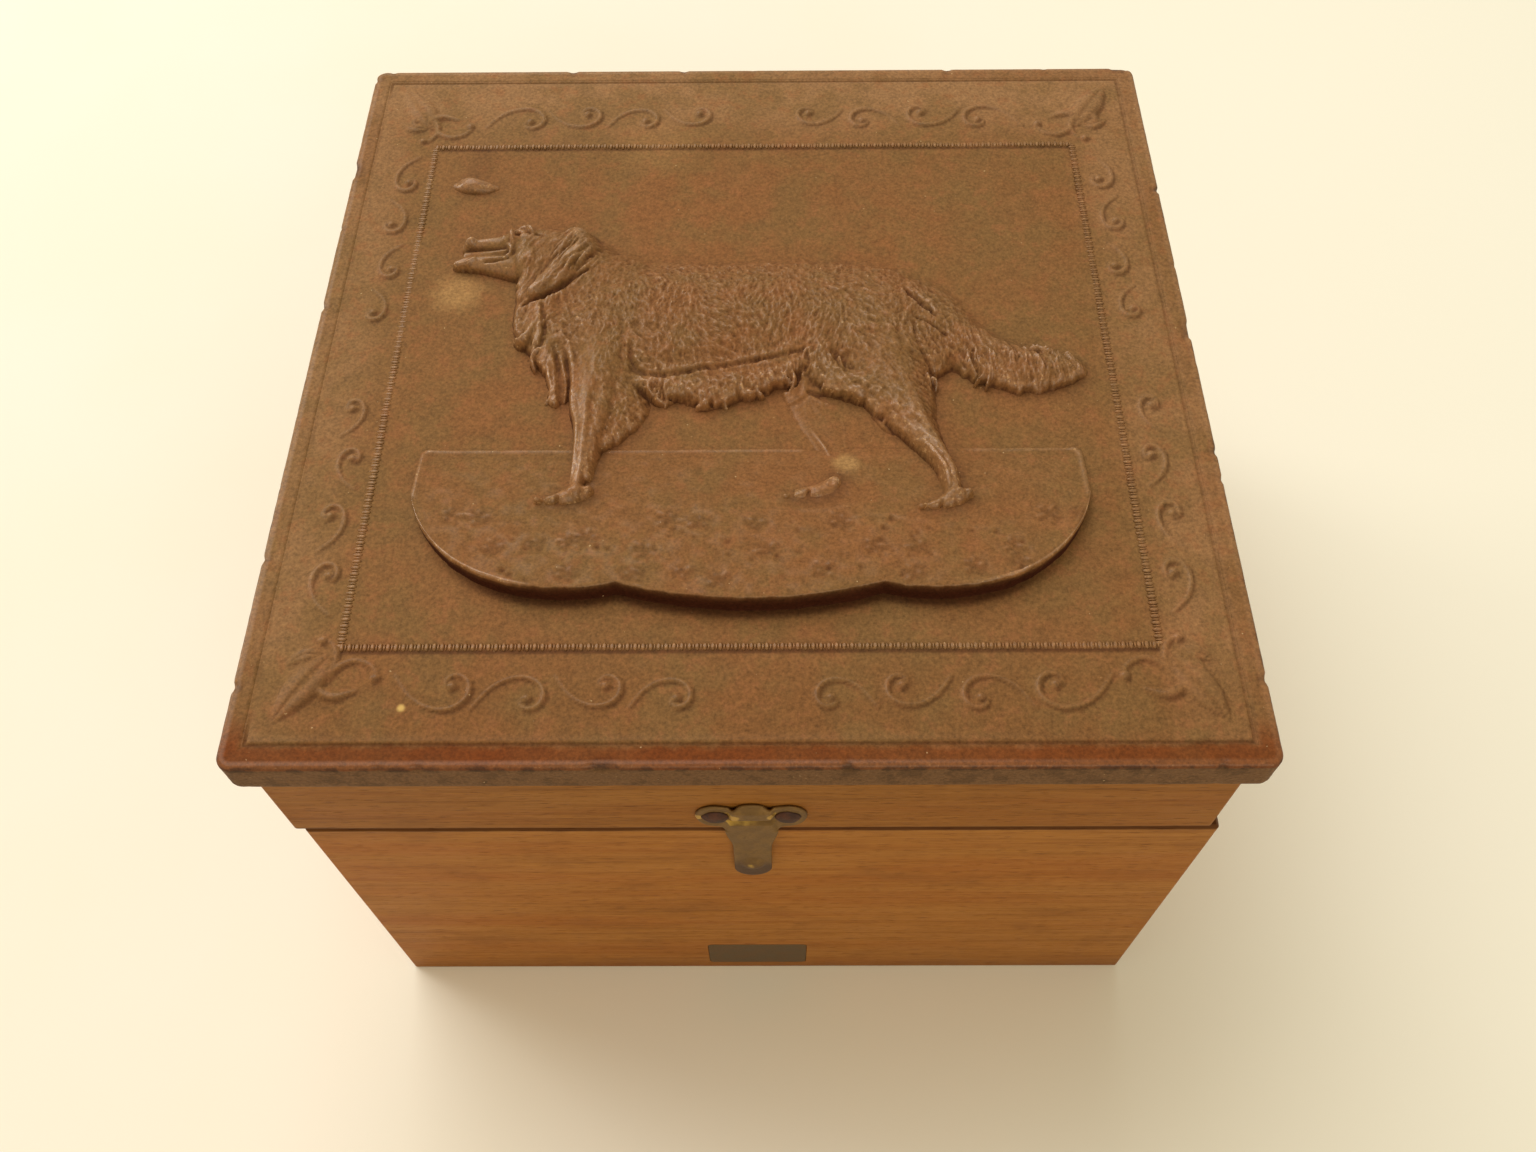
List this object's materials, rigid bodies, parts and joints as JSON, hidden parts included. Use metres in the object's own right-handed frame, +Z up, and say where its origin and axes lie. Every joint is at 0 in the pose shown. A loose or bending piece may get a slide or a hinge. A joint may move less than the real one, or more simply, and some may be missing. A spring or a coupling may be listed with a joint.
{
  "type": "lidded wooden box",
  "caption": "Square wooden box with a hinged lid, a moulded plate with a standing dog in relief on top, and a sheet brass hasp at the front.",
  "frame": {"origin": "on the floor under the middle of the lid's moulded plate, which is the widest piece", "axes": "+X to the right seen from the front, +Y towards the hinges at the back, +Z up; the lid is shut"},
  "size_m": [0.1642, 0.1644, 0.1228],
  "materials": {
    "wood": "old thin shellac on straight-grained hardwood, satin, worn at the edges",
    "wood_inside": "bare, dry",
    "moulded_plate": "pressed wood-fibre composition, matt, polished on the high points, dusty in the hollows",
    "dark_metal": "dark, dull",
    "iron_tacks": "rusted dark",
    "brass": "tarnished olive brown, brighter where rubbed"
  },
  "bodies": {
    "base": {"base_front_board": "wood", "base_back_board": "wood", "base_left_board": "wood", "base_right_board": "wood", "base_bottom_panel": "wood_inside", "front_plate": "dark_metal", "catch_stud": "brass", "left_hinge_base_leaf": "brass", "left_hinge_pin": "brass", "left_hinge_base_screws": "brass", "right_hinge_base_leaf": "brass", "right_hinge_pin": "brass", "right_hinge_base_screws": "brass"},
    "lid": {"lid_front_rail": "wood", "lid_back_rail": "wood", "lid_left_rail": "wood", "lid_right_rail": "wood", "lid_top_board": "wood_inside", "relief_plate": "moulded_plate", "hasp_plate": "brass", "hasp_tacks": "iron_tacks", "left_hinge_lid_leaf": "brass", "left_hinge_lid_screws": "brass", "right_hinge_lid_leaf": "brass", "right_hinge_lid_screws": "brass"},
    "hasp_tongue": {"hasp_tongue": "brass"}
  },
  "joints": [
    {"name": "lid_hinge", "type": "hinge", "parent": "base", "child": "lid", "pos_m": [0, 0.08095, 0.0843], "axis": [-1, 0, 0], "range_deg": [0, 110]},
    {"name": "hasp_spring", "type": "hinge", "parent": "lid", "child": "hasp_tongue", "pos_m": [0, -0.0806, 0.0864], "axis": [-1, 0, 0], "range_deg": [0, 15], "stiffness_Nm_per_rad": 1.2}
  ]
}
